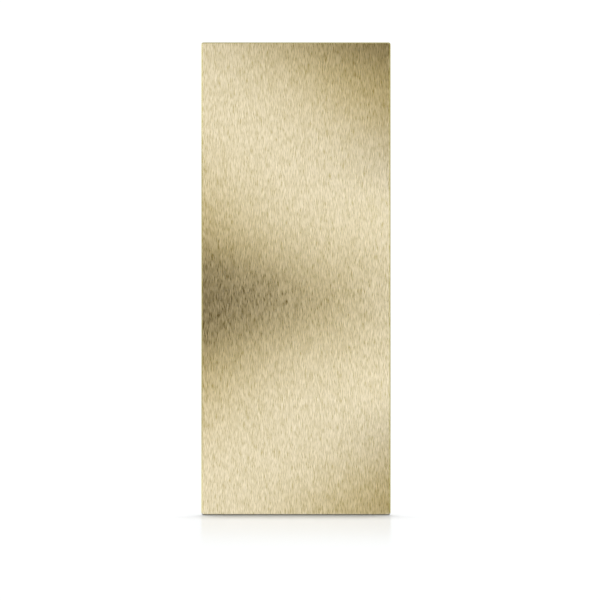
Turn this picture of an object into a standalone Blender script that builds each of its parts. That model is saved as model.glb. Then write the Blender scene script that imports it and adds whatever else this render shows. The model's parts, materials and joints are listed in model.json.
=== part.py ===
# Adhesive-fixed kick plate, modelled standing on its short end with its liners on.
#
# Metres, +Z up. The long side and the brushed grain run along Z, the short side along X.
# The decorated face looks along -Y and the door is on the +Y side. The origin is the
# centre of the adhesive plane: the outer face of the foam tape, which lies on the door.
# Fitted to a door, the plate is turned a quarter turn, so that Z runs across the door.

import math
from collections import namedtuple

import bmesh
import bpy
from mathutils import Vector

# Sheet brass plate.
PLATE_LENGTH = 0.762  # along Z, 30 in
PLATE_WIDTH = 0.3048  # along X, 12 in
PLATE_THICKNESS = 0.00127  # 0.050 in sheet
CORNER_RADIUS = 0.0032
CORNER_STEPS = 6
EDGE_BEVEL = 0.0007  # ground on all four front edges
BEVEL_SHARE = 0.8  # the most of the sheet's thickness that the bevel may take

# Double-sided foam tape, laid as two long strips with shorter strips between them.
TAPE_WIDTH = 0.0254
TAPE_THICKNESS = 0.0008
TAPE_INSET = 0.006  # from the plate's edge to the outermost strips
TAPE_BUTT_GAP = 0.0015  # between a short strip's end and the long strip beside it
CROSS_STRIPS = 4  # short strips between the two at the plate's ends

# Release liner, one on each strip.
LINER_THICKNESS = 0.00012
LINER_LIP = 0.004  # dry edge that stands past the tape for a fingernail

# Gap kept between faces that are bonded in the real plate.
BOND_CLEARANCE = 0.0003

# Levels along Y, worked out from the adhesive plane at zero.
TAPE_FRONT_Y = -TAPE_THICKNESS
PLATE_BACK_Y = TAPE_FRONT_Y - BOND_CLEARANCE
PLATE_FRONT_Y = PLATE_BACK_Y - PLATE_THICKNESS
LINER_FRONT_Y = BOND_CLEARANCE
LINER_BACK_Y = LINER_FRONT_Y + LINER_THICKNESS

# A strip's rectangle, and the side (x, z) on which its liner's lip stands out.
Strip = namedtuple("Strip", "name low_x high_x low_z high_z lip_side")


def clear_scene():
    for leftover in list(bpy.data.objects):
        bpy.data.objects.remove(leftover, do_unlink=True)


def make_material(name, colour, roughness, metallic):
    material = bpy.data.materials.new(name)
    material.use_nodes = True
    shader = material.node_tree.nodes["Principled BSDF"]
    shader.inputs["Base Color"].default_value = (*colour, 1.0)
    shader.inputs["Roughness"].default_value = roughness
    shader.inputs["Metallic"].default_value = metallic
    return material


def add_object(name, mesh_builder, location, material):
    """Turn a bmesh into a named object at its location, and free the bmesh."""
    mesh = bpy.data.meshes.new(name)
    mesh_builder.to_mesh(mesh)
    mesh_builder.free()
    mesh.materials.append(material)
    part = bpy.data.objects.new(name, mesh)
    part.location = location
    bpy.context.scene.collection.objects.link(part)
    return part


def rounded_rectangle(width, length, radius, steps):
    """Corner points of a rounded rectangle in the XZ plane, counter-clockwise seen from -Y."""
    points = []
    for quarter in range(4):
        middle = math.radians(45 + 90 * quarter)
        centre_x = math.copysign(width / 2 - radius, math.cos(middle))
        centre_z = math.copysign(length / 2 - radius, math.sin(middle))
        for step in range(steps + 1):
            angle = math.radians(90) * (quarter + step / steps)
            x = centre_x + radius * math.cos(angle)
            z = centre_z + radius * math.sin(angle)
            points.append((x, z))
    return points


def build_face_plate(material):
    """The sheet with rounded corners and a bevel ground round its front face."""
    builder = bmesh.new()
    outline = rounded_rectangle(PLATE_WIDTH, PLATE_LENGTH, CORNER_RADIUS, CORNER_STEPS)
    front = [builder.verts.new((x, 0.0, z)) for x, z in outline]
    face = builder.faces.new(front)
    grown = bmesh.ops.extrude_face_region(builder, geom=[face], use_keep_orig=True)
    back = [item for item in grown["geom"] if isinstance(item, bmesh.types.BMVert)]
    bmesh.ops.translate(builder, verts=back, vec=Vector((0.0, PLATE_THICKNESS, 0.0)))
    bmesh.ops.recalc_face_normals(builder, faces=builder.faces[:])
    front_rim = [
        edge
        for edge in builder.edges
        if all(abs(vertex.co.y) < PLATE_THICKNESS / 2 for vertex in edge.verts)
    ]
    bevel = min(EDGE_BEVEL, BEVEL_SHARE * PLATE_THICKNESS)
    bmesh.ops.bevel(builder, geom=front_rim, offset=bevel, segments=1, affect="EDGES")
    return add_object("face_plate", builder, (0.0, PLATE_FRONT_Y, 0.0), material)


def build_slab(name, low, high, material):
    """A thin rectangular layer between two corners, with its origin on the adhesive plane."""
    origin = Vector(((low[0] + high[0]) / 2, 0.0, (low[2] + high[2]) / 2))
    builder = bmesh.new()
    bmesh.ops.create_cube(builder, size=1.0)
    size = Vector(high) - Vector(low)
    middle = (Vector(high) + Vector(low)) / 2
    bmesh.ops.scale(builder, verts=builder.verts[:], vec=size)
    bmesh.ops.translate(builder, verts=builder.verts[:], vec=middle - origin)
    return add_object(name, builder, origin, material)


def lay_out_strips():
    """Every foam strip: the two along the plate's sides, then the rows between them."""
    outer_x = PLATE_WIDTH / 2 - TAPE_INSET
    outer_z = PLATE_LENGTH / 2 - TAPE_INSET
    inner_x = outer_x - TAPE_WIDTH
    row_end_x = inner_x - TAPE_BUTT_GAP
    strips = [
        Strip("edge_left", -outer_x, -inner_x, -outer_z, outer_z, (-1, 0)),
        Strip("edge_right", inner_x, outer_x, -outer_z, outer_z, (1, 0)),
    ]
    last_row = CROSS_STRIPS + 1
    pitch = (2 * outer_z - TAPE_WIDTH) / last_row
    for row in range(last_row + 1):
        low_z = -outer_z + row * pitch
        name = {0: "end_bottom", last_row: "end_top"}.get(row, f"cross_{row}")
        lip_side = (0, -1) if row == 0 else (0, 1)
        strips.append(
            Strip(name, -row_end_x, row_end_x, low_z, low_z + TAPE_WIDTH, lip_side)
        )
    return strips


def build_tape(strip, material):
    low = (strip.low_x, TAPE_FRONT_Y, strip.low_z)
    high = (strip.high_x, 0.0, strip.high_z)
    return build_slab(f"tape_{strip.name}", low, high, material)


def build_liner(strip, material):
    """The paper over one strip, wider than the strip by its lip."""
    side_x, side_z = strip.lip_side
    low = (
        strip.low_x + min(side_x, 0) * LINER_LIP,
        LINER_FRONT_Y,
        strip.low_z + min(side_z, 0) * LINER_LIP,
    )
    high = (
        strip.high_x + max(side_x, 0) * LINER_LIP,
        LINER_BACK_Y,
        strip.high_z + max(side_z, 0) * LINER_LIP,
    )
    return build_slab(f"liner_{strip.name}", low, high, material)


def build_kick_plate():
    clear_scene()
    brass = make_material("satin_brass", (0.76, 0.66, 0.44), 0.32, 1.0)
    foam = make_material("foam_tape", (0.82, 0.82, 0.80), 0.85, 0.0)
    paper = make_material("liner_paper", (0.62, 0.45, 0.27), 0.55, 0.0)
    build_face_plate(brass)
    for strip in lay_out_strips():
        build_tape(strip, foam)
        build_liner(strip, paper)


build_kick_plate()
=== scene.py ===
import json
import math
import bpy
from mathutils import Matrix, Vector

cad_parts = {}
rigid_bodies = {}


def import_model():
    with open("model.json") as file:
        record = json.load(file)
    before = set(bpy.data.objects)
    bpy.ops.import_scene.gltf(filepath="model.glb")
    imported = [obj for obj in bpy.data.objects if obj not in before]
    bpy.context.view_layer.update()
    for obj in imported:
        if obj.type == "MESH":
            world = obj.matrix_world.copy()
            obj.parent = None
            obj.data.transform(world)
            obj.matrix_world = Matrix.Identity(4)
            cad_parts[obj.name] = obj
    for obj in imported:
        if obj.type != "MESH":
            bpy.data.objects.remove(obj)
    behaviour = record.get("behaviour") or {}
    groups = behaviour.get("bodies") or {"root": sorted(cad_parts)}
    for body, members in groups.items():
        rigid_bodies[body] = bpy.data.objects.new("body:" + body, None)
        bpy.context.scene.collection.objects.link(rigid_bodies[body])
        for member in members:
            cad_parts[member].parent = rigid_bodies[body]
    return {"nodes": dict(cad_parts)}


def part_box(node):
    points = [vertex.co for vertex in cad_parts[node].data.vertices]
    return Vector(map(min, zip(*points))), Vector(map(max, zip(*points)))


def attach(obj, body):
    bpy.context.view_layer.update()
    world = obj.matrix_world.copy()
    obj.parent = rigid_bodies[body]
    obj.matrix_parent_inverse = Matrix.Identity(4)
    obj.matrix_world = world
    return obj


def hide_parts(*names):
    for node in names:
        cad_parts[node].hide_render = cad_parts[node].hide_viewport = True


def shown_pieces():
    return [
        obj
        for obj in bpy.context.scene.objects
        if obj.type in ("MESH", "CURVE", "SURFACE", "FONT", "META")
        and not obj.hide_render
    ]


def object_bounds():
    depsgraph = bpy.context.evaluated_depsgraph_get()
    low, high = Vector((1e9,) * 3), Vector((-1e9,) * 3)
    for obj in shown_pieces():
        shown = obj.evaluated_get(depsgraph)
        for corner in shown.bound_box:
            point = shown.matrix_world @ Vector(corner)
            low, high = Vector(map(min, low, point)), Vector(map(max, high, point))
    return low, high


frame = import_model()
cadBox = [list(corner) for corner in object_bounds()]
plateBody = "plate"
stripNames = [n[len("tape_"):] for n in sorted(frame["nodes"]) if n.startswith("tape_")]
print("frame loaded:", len(frame["nodes"]), "nodes")


class Wire:
    # one output of a node; the operators below add the Math nodes for an expression
    def __init__(self, net, socket):
        self.net = net
        self.socket = socket

    def out(self, name):
        return Wire(self.net, self.socket.node.outputs[name])

    def do(self, operation, *values, clamp=False):
        settings = {"operation": operation, "use_clamp": clamp}
        return self.net.add("ShaderNodeMath", settings, dict(enumerate(values)))

    def __add__(self, other):
        return self.do("ADD", self, other)

    def __radd__(self, other):
        return self.do("ADD", other, self)

    def __sub__(self, other):
        return self.do("SUBTRACT", self, other)

    def __rsub__(self, other):
        return self.do("SUBTRACT", other, self)

    def __mul__(self, other):
        return self.do("MULTIPLY", self, other)

    def __rmul__(self, other):
        return self.do("MULTIPLY", other, self)

    def __truediv__(self, other):
        return self.do("DIVIDE", self, other)

    def __rtruediv__(self, other):
        return self.do("DIVIDE", other, self)

    def __pow__(self, other):
        return self.do("POWER", self, other)

    def __neg__(self):
        return self.do("MULTIPLY", self, -1.0)

    def size(self):
        return self.do("ABSOLUTE", self)

    def sign(self):
        return self.do("SIGN", self)

    def unit(self):
        # held between 0 and 1
        return self.do("ADD", self, 0.0, clamp=True)

    def over(self, other):
        # 1 where this is greater than the other
        return self.do("GREATER_THAN", self, other)


class Net:
    # a node tree with one way to add any node to it
    def __init__(self, tree):
        self.tree = tree

    def add(self, kind, settings=None, sockets=None, out=0):
        node = self.tree.nodes.new(kind)
        for key, value in (settings or {}).items():
            setattr(node, key, value)
        for key, value in (sockets or {}).items():
            self.feed(node.inputs[key], value)
        return Wire(self, node.outputs[out]) if len(node.outputs) else node

    def feed(self, socket, value):
        if isinstance(value, Wire):
            self.tree.links.new(value.socket, socket)
        elif isinstance(value, (list, tuple)) and value and isinstance(value[0], Wire):
            for item in value:
                self.tree.links.new(item.socket, socket)
        else:
            socket.default_value = value

    def vector(self, x, y, z):
        return self.add("ShaderNodeCombineXYZ", None, {0: x, 1: y, 2: z})

    def split(self, wire):
        parts = self.add("ShaderNodeSeparateXYZ", None, {0: wire})
        return parts, parts.out("Y"), parts.out("Z")

    def vectorMath(self, operation, *values):
        return self.add("ShaderNodeVectorMath", {"operation": operation}, dict(enumerate(values)))

    def drawn(self, place, across, along):
        # a place scaled by one amount across the grain and another along it
        x, y, z = self.split(place)
        return self.vector(x * across, y * across, z * along)

    def mixColour(self, factor, first, second):
        sockets = {0: factor, 6: first, 7: second}
        return self.add("ShaderNodeMix", {"data_type": "RGBA"}, sockets, out=2)

    def smooth(self, value, low, high):
        # 0 below low, 1 above high, and an eased climb between them
        settings = {"interpolation_type": "SMOOTHSTEP"}
        sockets = {"Value": value, "From Min": low, "From Max": high}
        return self.add("ShaderNodeMapRange", settings, sockets)

    def noise(self, place, scale, detail, roughness=0.5, seed=0.0):
        sockets = {
            "Vector": place, "W": seed, "Scale": scale, "Detail": detail, "Roughness": roughness}
        return self.add("ShaderNodeTexNoise", {"noise_dimensions": "4D"}, sockets)

    def bump(self, height, strength, depth):
        sockets = {"Strength": strength, "Distance": depth, "Height": height}
        return self.add("ShaderNodeBump", None, sockets)


pureWhite = (1.0, 1.0, 1.0)


def rgba(colour):
    return (*colour, 1.0)


def newMaterial(name):
    material = bpy.data.materials.new(name)
    material.use_nodes = True
    net = Net(material.node_tree)
    shader = material.node_tree.nodes["Principled BSDF"]
    return material, net, shader


def feedShader(net, shader, values):
    for name, value in values.items():
        net.feed(shader.inputs[name], value)


def objectPlace(net):
    return net.add("ShaderNodeTexCoord", None, None, out="Object")


brassLook = {
    "lightColour": (0.985, 0.855, 0.60),
    "deepColour": (0.51, 0.415, 0.18),  # the floor of a brushed stroke
    "roughness": 0.345,
    "roughnessSpread": 0.15,
    "anisotropy": 0.58,
    "strokeWidth": 0.00085,
    "strokeLength": 0.0096,
    "strokeSlant": 0.09,  # sideways drift for each metre along the grain
    "strokeLayers": [(1.0, 1.0, 0.8), (2.0, -1.0, 1.1), (3.0, 0.2, 1.7)],  # seed, lean, length
    "strokeContrast": 1.675,
    "strokeHeight": 0.5,
    "hairWidth": 0.0006,
    "hairLength": 0.0135,
    "hairContrast": 1.6,
    "hairHeight": 0.3,
    "hairSeed": 5.0,
    "bandWidth": 0.005,
    "bandLength": 0.02,
    "bandContrast": 0.35,
    "bandSeed": 9.0,
    "middleShade": 0.58,  # where the tone lies between deep and light
    "bumpStrength": 1.0,
    "bumpDepth": 0.00008,
}


def strokeField(net, place, width, length, slant, seed):
    # noise drawn out along Z and leaning by the slant
    x, y, z = net.split(place)
    stretched = net.vector((x + z * slant) / width, y / width, z / length)
    return net.noise(stretched, 1.0, detail=1.0, seed=seed) - 0.5


def makeBrushedBrass(look):
    material, net, shader = newMaterial("brushedBrass")
    place = objectPlace(net)
    layers = []
    for seed, lean, stretch in look["strokeLayers"]:
        length, slant = look["strokeLength"] * stretch, look["strokeSlant"] * lean
        layers.append(strokeField(net, place, look["strokeWidth"], length, slant, seed))
    strokes = sum(layers[1:], layers[0])
    hair = strokeField(net, place, look["hairWidth"], look["hairLength"], 0.0, look["hairSeed"])
    band = strokeField(
        net, place, look["bandWidth"], look["bandLength"], look["strokeSlant"], look["bandSeed"])
    tone = strokes * look["strokeContrast"] + hair * look["hairContrast"] + band * look["bandContrast"]
    shade = (tone + look["middleShade"]).unit()
    height = strokes * look["strokeHeight"] + hair * look["hairHeight"]
    feedShader(net, shader, {
        "Base Color": net.mixColour(shade, rgba(look["deepColour"]), rgba(look["lightColour"])),
        "Metallic": 1.0,
        "Roughness": look["roughness"] + (shade - look["middleShade"]) * look["roughnessSpread"],
        "Anisotropic": look["anisotropy"],
        "Normal": net.bump(height, look["bumpStrength"], look["bumpDepth"]),
    })
    return material


# the unpolished back, with long rolling lines and a slight tarnish
millLook = {
    "baseColour": (0.83, 0.64, 0.35),
    "tarnishColour": (0.58, 0.41, 0.20),
    "lineColour": (0.94, 0.77, 0.47),
    "speckColour": (0.42, 0.31, 0.17),
    "lineScale": (700.0, 5.0),  # across and along the rolling direction
    "bandScale": (60.0, 2.0),
    "stainScale": 7.0,
    "stainEdges": (0.4, 0.7),
    "stainShare": 0.7,
    "bandShare": 0.9,
    "lineLevel": 0.42,
    "lineContrast": 2.4,
    "speckScale": 420.0,
    "speckEdges": (0.66, 0.76),
    "speckShare": 0.35,
    "roughness": 0.30,
    "tarnishRoughness": 0.12,
    "lineRoughness": 0.08,
    "anisotropy": 0.3,
    "bumpStrength": 0.5,
    "bumpDepth": 0.00002,
}


def makeMillBrass(look):
    material, net, shader = newMaterial("millBrass")
    place = objectPlace(net)
    rolled = net.noise(net.drawn(place, *look["lineScale"]), 1.0, detail=3.0, seed=7.0)
    band = net.noise(net.drawn(place, *look["bandScale"]), 1.0, detail=2.0, seed=6.0)
    stain = net.noise(place, look["stainScale"], detail=5.0, roughness=0.65, seed=8.0)
    speck = net.noise(place, look["speckScale"], detail=1.0, seed=10.0)
    stained = net.smooth(stain, *look["stainEdges"]) * look["stainShare"]
    tarnish = stained + (band - 0.5) * look["bandShare"]
    base = net.mixColour(tarnish.unit(), rgba(look["baseColour"]), rgba(look["tarnishColour"]))
    line = ((rolled - look["lineLevel"]) * look["lineContrast"]).unit()
    lined = net.mixColour(line, base, rgba(look["lineColour"]))
    dots = net.smooth(speck, *look["speckEdges"]) * look["speckShare"]
    rough = look["roughness"] + tarnish * look["tarnishRoughness"] + rolled * look["lineRoughness"]
    feedShader(net, shader, {
        "Base Color": net.mixColour(dots, lined, rgba(look["speckColour"])),
        "Metallic": 1.0,
        "Roughness": rough,
        "Anisotropic": look["anisotropy"],
        "Normal": net.bump(rolled, look["bumpStrength"], look["bumpDepth"]),
    })
    return material


foamLook = {
    # painted shade: the hollow of each cut cell is coloured darker than its walls
    "paintedPitShade": (0.62, 0.62, 0.60),
    "wallColour": (0.86, 0.86, 0.84),
    "cellScale": 2600.0,
    "pitReach": 0.7,
    "roughness": 0.9,
    "bumpStrength": 0.6,
    "bumpDepth": 0.0001,
}


def makeFoamCore(look):
    material, net, shader = newMaterial("foamCore")
    sockets = {"Vector": objectPlace(net), "Scale": look["cellScale"]}
    # the colour darkens towards each cell's middle, a painted shade in the hollow that the bump also
    # dips into
    walls = net.smooth(net.add("ShaderNodeTexVoronoi", None, sockets), 0.0, look["pitReach"])
    feedShader(net, shader, {
        "Base Color": net.mixColour(walls, rgba(look["paintedPitShade"]), rgba(look["wallColour"])),
        "Roughness": look["roughness"],
        "Normal": net.bump(walls, look["bumpStrength"], look["bumpDepth"]),
    })
    return material


linerLook = {
    "darkColour": (0.39, 0.26, 0.13),
    "lightColour": (0.60, 0.435, 0.245),
    "fibreColour": (0.68, 0.50, 0.31),
    "fleckColour": (0.28, 0.17, 0.085),
    "cloudScale": 220.0,
    "broadScale": 45.0,
    "cloudContrast": 1.6,
    "fibreScale": (1400.0, 260.0),  # across and along the machine direction
    "fibreShare": 0.35,
    "fleckScale": 1500.0,
    "fleckEdges": (0.7, 0.78),
    "fleckShare": 0.5,
    "roughness": 0.42,
    "roughnessSpread": 0.25,
    "cloudHeight": 0.6,
    "fibreHeight": 0.4,
    "bumpStrength": 0.35,
    "bumpDepth": 0.00008,
}


def makeLinerPaper(look):
    material, net, shader = newMaterial("linerPaper")
    place = objectPlace(net)
    cloud = net.noise(place, look["cloudScale"], detail=4.0, roughness=0.6, seed=21.0)
    broad = net.noise(place, look["broadScale"], detail=3.0, roughness=0.6, seed=24.0)
    fibre = net.noise(net.drawn(place, *look["fibreScale"]), 1.0, detail=2.0, seed=22.0)
    fleck = net.noise(place, look["fleckScale"], detail=0.0, seed=23.0)
    mottle = ((cloud + broad - 1.0) * look["cloudContrast"] + 0.5).unit()
    base = net.mixColour(mottle, rgba(look["darkColour"]), rgba(look["lightColour"]))
    streaked = net.mixColour(fibre * look["fibreShare"], base, rgba(look["fibreColour"]))
    flecks = net.smooth(fleck, *look["fleckEdges"]) * look["fleckShare"]
    height = cloud * look["cloudHeight"] + fibre * look["fibreHeight"]
    feedShader(net, shader, {
        "Base Color": net.mixColour(flecks, streaked, rgba(look["fleckColour"])),
        "Roughness": look["roughness"] + cloud * look["roughnessSpread"],
        "Normal": net.bump(height, look["bumpStrength"], look["bumpDepth"]),
    })
    return material


# finishes that are one cloudy tone: the ground rim and cut edge of the sheet, the glue
# on the foam, and the siliconed side of the paper
edgeLook = {
    "darkColour": (0.50, 0.49, 0.46),
    "lightColour": (0.64, 0.63, 0.59),
    "metallic": 1.0,
    "scale": 700.0,
    "detail": 2.0,
    "seed": 9.0,
    "roughness": 0.12,
    "roughnessSpread": 0.12,
    "bumpStrength": 0.3,
    "bumpDepth": 0.00002,
}

adhesiveLook = {
    "darkColour": (0.80, 0.80, 0.76),
    "lightColour": (0.90, 0.90, 0.87),
    "metallic": 0.0,
    "scale": 160.0,
    "detail": 3.0,
    "seed": 11.0,
    "roughness": 0.25,
    "roughnessSpread": 0.2,
    "bumpStrength": 0.3,
    "bumpDepth": 0.0001,
}

releaseLook = {
    "darkColour": (0.60, 0.42, 0.22),
    "lightColour": (0.70, 0.52, 0.30),
    "metallic": 0.0,
    "scale": 260.0,
    "detail": 3.0,
    "seed": 25.0,
    "roughness": 0.18,
    "roughnessSpread": 0.1,
    "bumpStrength": 0.2,
    "bumpDepth": 0.00005,
}


def makeCloudyFinish(name, look):
    material, net, shader = newMaterial(name)
    cloud = net.noise(objectPlace(net), look["scale"], detail=look["detail"], seed=look["seed"])
    feedShader(net, shader, {
        "Base Color": net.mixColour(cloud, rgba(look["darkColour"]), rgba(look["lightColour"])),
        "Metallic": look["metallic"],
        "Roughness": look["roughness"] + cloud * look["roughnessSpread"],
        "Normal": net.bump(cloud, look["bumpStrength"], look["bumpDepth"]),
    })
    return material


number = "NodeSocketFloat"
whole = "NodeSocketInt"
finishKind = "NodeSocketMaterial"

treeSet = {
    "weldDistance": 1e-6,
    "sheetCrease": 13.0,  # degrees past which an edge is drawn sharp
    "paperCrease": 40.0,
    "sheetFacing": 0.9,  # how squarely a face has to look along Y to take the face finish
    "paperFacing": 0.3,
    "rippleScale": 22.0,
}


class TreeMaker:
    # a geometry node group whose inputs are named sizes
    def __init__(self, name, sizes):
        self.tree = bpy.data.node_groups.new(name, "GeometryNodeTree")
        face = self.tree.interface
        face.new_socket("Geometry", in_out="INPUT", socket_type="NodeSocketGeometry")
        face.new_socket("Geometry", in_out="OUTPUT", socket_type="NodeSocketGeometry")
        self.ids = {}
        for size, kind in sizes.items():
            socket = face.new_socket(size, in_out="INPUT", socket_type=kind)
            self.ids[size] = socket.identifier
        self.net = Net(self.tree)
        self.start = self.net.add("NodeGroupInput")

    def size(self, name):
        return self.start.out(name)

    def finish(self, wire, finishes):
        # finishes lists pairs of a material input and the faces that take it
        wire = self.net.add("GeometryNodeRealizeInstances", None, {0: wire})
        for name, faces in finishes:
            sockets = {"Geometry": wire, "Material": self.size(name)}
            if faces is not None:
                sockets["Selection"] = faces
            wire = self.net.add("GeometryNodeSetMaterial", None, sockets)
        end = self.net.tree.nodes.new("NodeGroupOutput")
        self.net.feed(end.inputs[0], wire)

    def build(self, pieceName, values):
        # run the tree with these values and keep the plain mesh it makes
        host = bpy.data.objects.new(pieceName + "Host", bpy.data.meshes.new("host"))
        bpy.context.scene.collection.objects.link(host)
        modifier = host.modifiers.new("shape", "NODES")
        modifier.node_group = self.tree
        for name, value in values.items():
            modifier[self.ids[name]] = value
        graph = bpy.context.evaluated_depsgraph_get()
        mesh = bpy.data.meshes.new_from_object(host.evaluated_get(graph))
        host.modifiers.remove(modifier)
        bpy.data.objects.remove(host, do_unlink=True)
        mesh.name = pieceName
        piece = bpy.data.objects.new(pieceName, mesh)
        bpy.context.scene.collection.objects.link(piece)
        return piece


def facing(net):
    # how far a face looks along +Y, from -1 to 1
    return net.split(net.add("GeometryNodeInputNormal"))[1]


def finishMesh(maker, wire, crease, finishes):
    # weld, place and shade a mesh, sharp where it turns by more than the crease angle
    net, size = maker.net, maker.size
    welded = net.add("GeometryNodeMergeByDistance", None, {
        "Geometry": wire, "Distance": treeSet["weldDistance"]})
    placed = net.add("GeometryNodeTransform", None, {
        "Geometry": welded, "Translation": net.vector(size("CentreX"), 0.0, size("CentreZ"))})
    soft = net.add("GeometryNodeSetShadeSmooth", {"domain": "FACE"}, {"Geometry": placed})
    turn = net.add("GeometryNodeInputMeshEdgeAngle")
    crisp = net.add("GeometryNodeSetShadeSmooth", {"domain": "EDGE"}, {
        "Geometry": soft, "Selection": turn.over(math.radians(crease)), "Shade Smooth": False})
    maker.finish(crisp, finishes)


def makeSheetTree(rimSteps):
    # a flat sheet with rounded corners, its front rim cut back in a few steps
    maker = TreeMaker("roundedSheet", {
        "Width": number, "Length": number, "Back": number, "Front": number,
        "CentreX": number, "CentreZ": number, "Radius": number, "CornerSteps": whole,
        "RimWidth": number, "RimDepth": number,
        "FaceFinish": finishKind, "SideFinish": finishKind, "BackFinish": finishKind,
    })
    net, size = maker.net, maker.size
    outline = net.add("GeometryNodeCurvePrimitiveQuadrilateral", None, {
        "Width": size("Width"), "Height": size("Length")})
    rounded = net.add("GeometryNodeFilletCurve", {"mode": "POLY"}, {
        "Curve": outline, "Radius": size("Radius"), "Count": size("CornerSteps")})
    flat = net.add("GeometryNodeFillCurve", {"mode": "NGONS"}, {"Curve": rounded})
    # stood upright the sheet looks along -Y, and a copy turned round closes its back
    upright = net.add("GeometryNodeTransform", None, {
        "Geometry": flat, "Rotation": (math.pi / 2, 0.0, 0.0),
        "Translation": net.vector(0.0, size("Back"), 0.0)})
    back = net.add("GeometryNodeFlipFaces", None, {0: upright})
    shell, top = extrude(net, upright, None, size("Front") + size("RimDepth") - size("Back"))
    for step in range(rimSteps):
        now = math.radians(90 * step / rimSteps)
        after = math.radians(90 * (step + 1) / rimSteps)
        shell, top = extrude(net, shell, top, size("RimDepth") * (math.sin(now) - math.sin(after)))
        shell = drawIn(net, shell, top, size, 1 - math.cos(now), 1 - math.cos(after))
    joined = net.add("GeometryNodeJoinGeometry", None, {0: [shell, back]})
    finishMesh(maker, joined, treeSet["sheetCrease"], [
        ("SideFinish", None),
        ("FaceFinish", (-facing(net)).over(treeSet["sheetFacing"])),
        ("BackFinish", facing(net).over(treeSet["sheetFacing"])),
    ])
    return maker


def extrude(net, shape, selection, rise):
    sockets = {"Mesh": shape, "Offset": net.vector(0.0, rise, 0.0), "Individual": False}
    if selection is not None:
        sockets["Selection"] = selection
    grown = net.add("GeometryNodeExtrudeMesh", {"mode": "FACES"}, sockets)
    return grown, grown.out("Top")


def drawIn(net, shape, top, size, before, after):
    # each outline point is on a corner's arc, so the rim moves in towards that arc's centre
    x, y, z = net.split(net.add("GeometryNodeInputPosition"))
    radius = size("Radius")
    shrink = (radius - size("RimWidth") * after) / (radius - size("RimWidth") * before)
    centreX = x.sign() * (size("Width") * 0.5 - radius)
    centreZ = z.sign() * (size("Length") * 0.5 - radius)
    moved = net.vector(centreX + (x - centreX) * shrink, y, centreZ + (z - centreZ) * shrink)
    return net.add("GeometryNodeSetPosition", None, {
        "Geometry": shape, "Selection": top, "Position": moved})


def makeLinerTree():
    # a thin paper strip that lifts off at one corner and ripples a little
    maker = TreeMaker("linerStrip", {
        "Width": number, "Length": number, "Front": number, "Thickness": number,
        "CentreX": number, "CentreZ": number, "PointsX": whole, "PointsZ": whole,
        "CornerX": number, "CornerZ": number, "LiftHeight": number, "LiftReach": number,
        "Ripple": number, "Seed": number,
        "OuterFinish": finishKind, "ReleaseFinish": finishKind,
    })
    net, size = maker.net, maker.size
    grid = net.add("GeometryNodeMeshGrid", None, {
        "Size X": size("Width"), "Size Y": size("Length"),
        "Vertices X": size("PointsX"), "Vertices Y": size("PointsZ")})
    place = net.add("GeometryNodeInputPosition")
    across, along = net.split(place)[:2]
    awayX = (across - size("CornerX") * size("Width") * 0.5) / size("LiftReach")
    awayZ = (along - size("CornerZ") * size("Length") * 0.5) / size("LiftReach")
    near = (1.0 - (awayX * awayX + awayZ * awayZ) ** 0.5).unit()
    lift = near * near * size("LiftHeight")
    ripple = net.noise(place, treeSet["rippleScale"], detail=1.0, seed=size("Seed"))
    depth = size("Front") + lift + ripple * size("Ripple")
    # laid over from XY to XZ, the grid looks along -Y
    shaped = net.add("GeometryNodeSetPosition", None, {
        "Geometry": grid, "Position": net.vector(across, depth, along)})
    turned = net.add("GeometryNodeFlipFaces", None, {0: shaped})
    outer = extrude(net, turned, None, size("Thickness"))[0]
    joined = net.add("GeometryNodeJoinGeometry", None, {0: [outer, shaped]})
    finishMesh(maker, joined, treeSet["paperCrease"], [
        ("OuterFinish", None),
        ("ReleaseFinish", (-facing(net)).over(treeSet["paperFacing"])),
    ])
    return maker


def spanOf(node):
    low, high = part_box(node)
    return low, high, (low + high) / 2


sheetTree = makeSheetTree(1)
linerTree = makeLinerTree()
brushed = makeBrushedBrass(brassLook)
cutEdge = makeCloudyFinish("cutBrassEdge", edgeLook)
mill = makeMillBrass(millLook)
foam = makeFoamCore(foamLook)
adhesive = makeCloudyFinish("tapeAdhesive", adhesiveLook)
kraft = makeLinerPaper(linerLook)
release = makeCloudyFinish("linerRelease", releaseLook)
print("materials made")

plateShape = {
    "Radius": 0.0032,
    "CornerSteps": 8,
    "RimWidth": 0.0016,
    "RimDepth": 0.0008,
}


def buildPlate():
    low, high, centre = spanOf("face_plate")
    piece = sheetTree.build("brassPlate", {
        "Width": high.x - low.x, "Length": high.z - low.z,
        "Back": high.y, "Front": low.y, "CentreX": centre.x, "CentreZ": centre.z,
        **plateShape,
        "FaceFinish": brushed, "SideFinish": cutEdge, "BackFinish": mill,
    })
    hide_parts("face_plate")
    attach(piece, plateBody)


stripShape = {
    "Radius": 0.0006,
    "CornerSteps": 2,
    "RimWidth": 0.0001,
    "RimDepth": 0.0001,
}


def buildFoamStrip(name, plateBack):
    low, high, centre = spanOf("tape_" + name)
    piece = sheetTree.build("foamStrip_" + name, {
        "Width": high.x - low.x, "Length": high.z - low.z,
        "Back": high.y, "Front": plateBack, "CentreX": centre.x, "CentreZ": centre.z,
        **stripShape,
        "FaceFinish": adhesive, "SideFinish": foam, "BackFinish": adhesive,
    })
    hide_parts("tape_" + name)
    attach(piece, plateBody)


linerShape = {
    "thickness": 0.00012,
    "gap": 0.00003,  # between the adhesive and the paper
    "pointSpacing": 0.003,
    "liftHeight": 0.0022,  # of the raised corner
    "liftReach": 0.034,
    "ripple": 0.00012,
    "rippleSeed": 3.0,
    "seedStep": 1.7,
}


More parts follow.
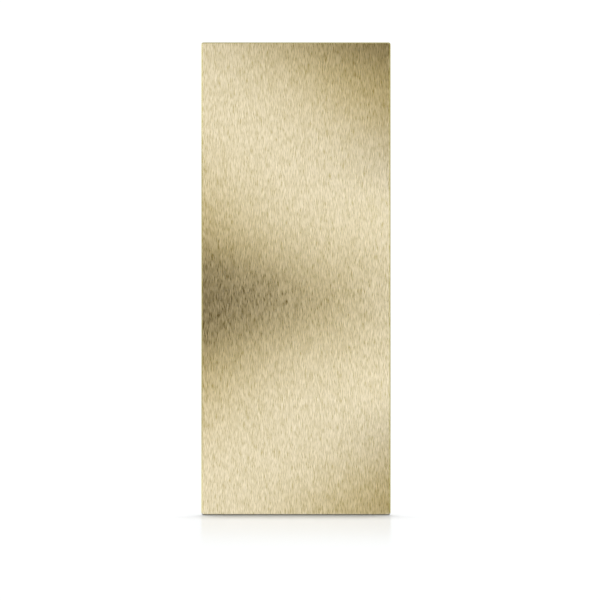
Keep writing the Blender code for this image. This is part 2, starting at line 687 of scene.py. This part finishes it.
def buildLiner(name, index):
    node = "liner_" + name
    low, high, centre = spanOf(node)
    tapeLow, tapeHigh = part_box("tape_" + name)
    # the lip is the side where the paper runs past the foam
    lipX = (high.x - tapeHigh.x) - (tapeLow.x - low.x)
    lipZ = (high.z - tapeHigh.z) - (tapeLow.z - low.z)
    # one corner of the lip is lifted, left and right by turns
    turn = 1.0 if index % 2 else -1.0
    if abs(lipX) > abs(lipZ):
        cornerX, cornerZ = math.copysign(1.0, lipX), turn
    else:
        cornerX, cornerZ = turn, math.copysign(1.0, lipZ)
    width, length = high.x - low.x, high.z - low.z
    piece = linerTree.build("linerPaper_" + name, {
        "Width": width, "Length": length,
        "Front": tapeHigh.y + linerShape["gap"], "Thickness": linerShape["thickness"],
        "CentreX": centre.x, "CentreZ": centre.z,
        "PointsX": round(width / linerShape["pointSpacing"]) + 1,
        "PointsZ": round(length / linerShape["pointSpacing"]) + 1,
        "CornerX": cornerX, "CornerZ": cornerZ,
        "LiftHeight": linerShape["liftHeight"], "LiftReach": linerShape["liftReach"],
        "Ripple": linerShape["ripple"],
        "Seed": linerShape["rippleSeed"] + index * linerShape["seedStep"],
        "OuterFinish": kraft, "ReleaseFinish": release,
    })
    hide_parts(node)
    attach(piece, node)


buildPlate()
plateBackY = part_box("face_plate")[1].y
for index, name in enumerate(stripNames):
    buildFoamStrip(name, plateBackY)
    buildLiner(name, index)
print("pieces built:", 1 + 2 * len(stripNames))

# camera: level, a little below the middle and far enough back to keep the sides parallel
cameraSet = {
    "place": (0.00645, -4.0, -0.0343),
    "lens": 148.8,
    "sensorWidth": 36.0,
}


def makeCamera(settings):
    data = bpy.data.cameras.new("camera")
    data.sensor_width = settings["sensorWidth"]
    data.lens = settings["lens"]
    camera = bpy.data.objects.new("camera", data)
    camera.location = settings["place"]
    camera.rotation_euler = (math.pi / 2, 0.0, 0.0)
    bpy.context.scene.collection.objects.link(camera)
    bpy.context.scene.camera = camera


# soft panels that the sheet mirrors, each given by its centre x, its height above the
# middle, its size across and up, its roll and its brightness in red, green and blue
panelSet = {
    "distance": 0.416,
    "stagger": 0.002,  # each panel stands this much behind the last, so none share a plane
    "middleHeight": -0.0343,
    "pairs": {  # one above the middle and one below it, rolled opposite ways
        "warm": (-0.36, 0.39, 1.16, 0.42, 0.37, (0.61, 0.57, 0.32)),
        "cool": (-0.24, 0.416, 0.92, 0.26, 0.66, (0.43, 0.55, 1.01)),
    },
    "single": (0.24, 0.0, 0.18, 0.41, 0.0, (1.32, 1.44, 1.75)),
    "backPlace": (-1.5, 2.2, 1.5),
    "backSize": 1.6,
    "backColour": (1.9, 1.84, 1.77),
}


def makePanel(name, across, up, colour, lit):
    level = max(colour)
    data = bpy.data.lights.new(name, "AREA")
    data.shape = "RECTANGLE"
    data.size = across
    data.size_y = up
    data.color = [part / level for part in colour]
    data.energy = level * across * up * math.pi
    light = bpy.data.objects.new(name, data)
    light.visible_camera = False
    light.light_linking.receiver_collection = lit
    bpy.context.scene.collection.objects.link(light)
    return light


def makePanels(settings):
    lit = bpy.data.collections.new("litByPanels")
    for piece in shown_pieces():
        lit.objects.link(piece)
    panels = {"middlePanel": (1.0, settings["single"])}
    for name, panel in settings["pairs"].items():
        panels[name + "UpperPanel"] = (1.0, panel)
        panels[name + "LowerPanel"] = (-1.0, panel)
    distance = settings["distance"]
    for name, (side, panel) in panels.items():
        x, above, across, up, roll, colour = panel
        light = makePanel(name, across, up, colour, lit)
        light.location = (x, -distance, settings["middleHeight"] + side * above)
        light.rotation_euler = (math.pi / 2, side * roll, 0.0)
        distance += settings["stagger"]
    size = settings["backSize"]
    light = makePanel("backPanel", size, size, settings["backColour"], lit)
    light.location = settings["backPlace"]
    light.rotation_euler = (-Vector(settings["backPlace"])).to_track_quat("-Z", "Y").to_euler()


skySet = {
    "front": (0.046, 0.02, 0.0),  # straight ahead of the sheet
    "ahead": (0.80, 0.70, 0.17),
    "side": (0.66, 0.74, 0.86),
    "above": (1.0, 1.0, 1.0),  # behind the sheet
    "below": (0.36, 0.355, 0.35),
    "belowStart": -0.42,  # height of a ray where the floor side is darkest
    "frontNarrow": 32.0,  # degrees from straight ahead where the dim middle ends
    "frontWide": 55.0,
    "besideEdges": (-0.6, -0.25),  # how far a ray looks along +Y where ahead turns to side
    "behindEdges": (0.1, 0.35),  # and where side turns to above and below
    "backdrop": 1.05,  # what the camera sees past the floor
}


def makeSky(settings):
    world = bpy.data.worlds.new("studio")
    bpy.context.scene.world = world
    world.use_nodes = True
    net = Net(world.node_tree)
    background = world.node_tree.nodes["Background"]
    seen = net.add("ShaderNodeLightPath", None, None, out="Is Camera Ray")
    way = net.vectorMath("NORMALIZE", net.add("ShaderNodeTexCoord", None, None, out="Generated"))
    y, z = net.split(way)[1:]
    narrow = 1 - math.cos(math.radians(settings["frontNarrow"]))
    wide = 1 - math.cos(math.radians(settings["frontWide"]))
    rise = net.smooth(z, settings["belowStart"], 0.0)
    behind = net.mixColour(rise, rgba(settings["below"]), rgba(settings["above"]))
    middle = net.smooth(y + 1.0, narrow, wide)
    ahead = net.mixColour(middle, rgba(settings["front"]), rgba(settings["ahead"]))
    beside = net.mixColour(net.smooth(y, *settings["besideEdges"]), ahead, rgba(settings["side"]))
    lit = net.mixColour(net.smooth(y, *settings["behindEdges"]), beside, behind)
    backdrop = rgba([settings["backdrop"]] * 3)
    net.feed(background.inputs["Color"], net.mixColour(seen, lit, backdrop))


floorSet = {
    "halfSize": 60.0,
    "white": (0.26, 0.26, 0.26),
    "mirrorShare": 0.235,  # share of mirror-like reflection right in front of the sheet
    "mirrorNear": 0.12,  # it fades from this far out
    "mirrorFar": 0.62,  # and is gone here
    "mirrorHalf": 0.16,  # half the width of the mirror-like strip
    "mirrorHalfEnd": 0.256,
    "mirrorRoughness": 0.15,
    "contactReach": 0.015,  # the brass mirrors the floor only this close to the sheet
    "contactFade": 0.05,  # the mirror share is whole this far in front of the sheet
    "overheadLevel": 10.2,
    "overheadTint": (0.975, 0.985, 1.0),
    "overheadWidth": 9.9,  # degrees across
    "overheadLean": 2.2,  # degrees towards the door side
}


def makeFloor(settings):
    half = settings["halfSize"]
    level = cadBox[0][2]
    mesh = bpy.data.meshes.new("floor")
    corners = [(-half, -half, level), (half, -half, level), (half, half, level), (-half, half, level)]
    mesh.from_pydata(corners, [], [(0, 1, 2, 3)])
    floor = bpy.data.objects.new("floor", mesh)
    bpy.context.scene.collection.objects.link(floor)
    material = bpy.data.materials.new("paleFloor")
    material.use_nodes = True
    tree = material.node_tree
    net = Net(tree)
    tree.nodes.remove(tree.nodes["Principled BSDF"])
    x, y = net.split(objectPlace(net))[:2]
    away = y.size()
    fade = 1.0 - net.smooth(away, settings["mirrorNear"], settings["mirrorFar"])
    fade = fade * (1.0 - net.smooth(x.size(), settings["mirrorHalf"], settings["mirrorHalfEnd"]))
    share = fade * net.smooth(-y, 0.0, settings["contactFade"]) * settings["mirrorShare"]
    matt = net.add("ShaderNodeBsdfDiffuse", None, {"Color": rgba(settings["white"])})
    glossy = net.add("ShaderNodeBsdfAnisotropic", None, {
        "Color": rgba(pureWhite), "Roughness": settings["mirrorRoughness"]})
    mixed = net.add("ShaderNodeMixShader", None, {0: share, 1: matt, 2: glossy})
    # the brass sees past the floor to the soft panels, except right where it stands
    seen = net.add("ShaderNodeLightPath", None, None, out="Is Glossy Ray")
    clear = net.add("ShaderNodeBsdfTransparent", None, {"Color": rgba(pureWhite)})
    passing = seen * away.over(settings["contactReach"])
    shown = net.add("ShaderNodeMixShader", None, {0: passing, 1: mixed, 2: clear})
    net.feed(tree.nodes["Material Output"].inputs["Surface"], shown)
    mesh.materials.append(material)
    floor.visible_shadow = False
    overhead = bpy.data.lights.new("overhead", "SUN")
    overhead.angle = math.radians(settings["overheadWidth"])
    overhead.energy = settings["overheadLevel"]
    overhead.color = settings["overheadTint"]
    light = bpy.data.objects.new("overhead", overhead)
    light.rotation_euler = (-math.radians(settings["overheadLean"]), 0.0, 0.0)
    bpy.context.scene.collection.objects.link(light)
    lit = bpy.data.collections.new("litByOverhead")
    lit.objects.link(floor)
    light.light_linking.receiver_collection = lit


makeCamera(cameraSet)
makePanels(panelSet)
makeSky(skySet)
makeFloor(floorSet)
bpy.context.scene.view_settings.view_transform = "Standard"
print("camera, lights and floor made")
